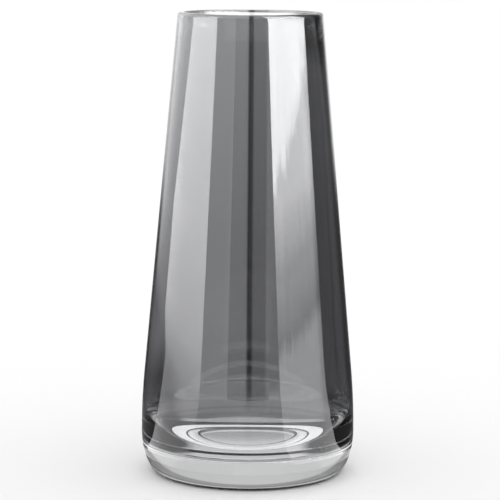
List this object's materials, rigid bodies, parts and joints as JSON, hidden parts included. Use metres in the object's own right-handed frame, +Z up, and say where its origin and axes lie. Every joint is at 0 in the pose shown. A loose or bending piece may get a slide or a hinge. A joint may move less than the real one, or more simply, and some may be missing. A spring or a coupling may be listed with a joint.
{
  "type": "tapered glass vase",
  "caption": "Tall tapered glass vase in smoke grey over clear glass, with a thick clear rounded base, a shallow stepped recess under it and a fire-polished rim.",
  "frame": {"origin": "centre of the foot, on the surface that the vase stands on", "axes": "+Z up along the vase's axis, through the mouth; +X and +Y are any two square directions, because the vase is round"},
  "size_m": [0.102, 0.102, 0.22],
  "materials": {
    "clear_glass": "clear, fire polished",
    "smoke_glass": "transparent smoke grey, fire polished"
  },
  "bodies": {
    "root": {"clear_glass_base": "clear_glass", "clear_glass_wall": "clear_glass", "smoke_glass_casing": "smoke_glass"}
  },
  "joints": []
}
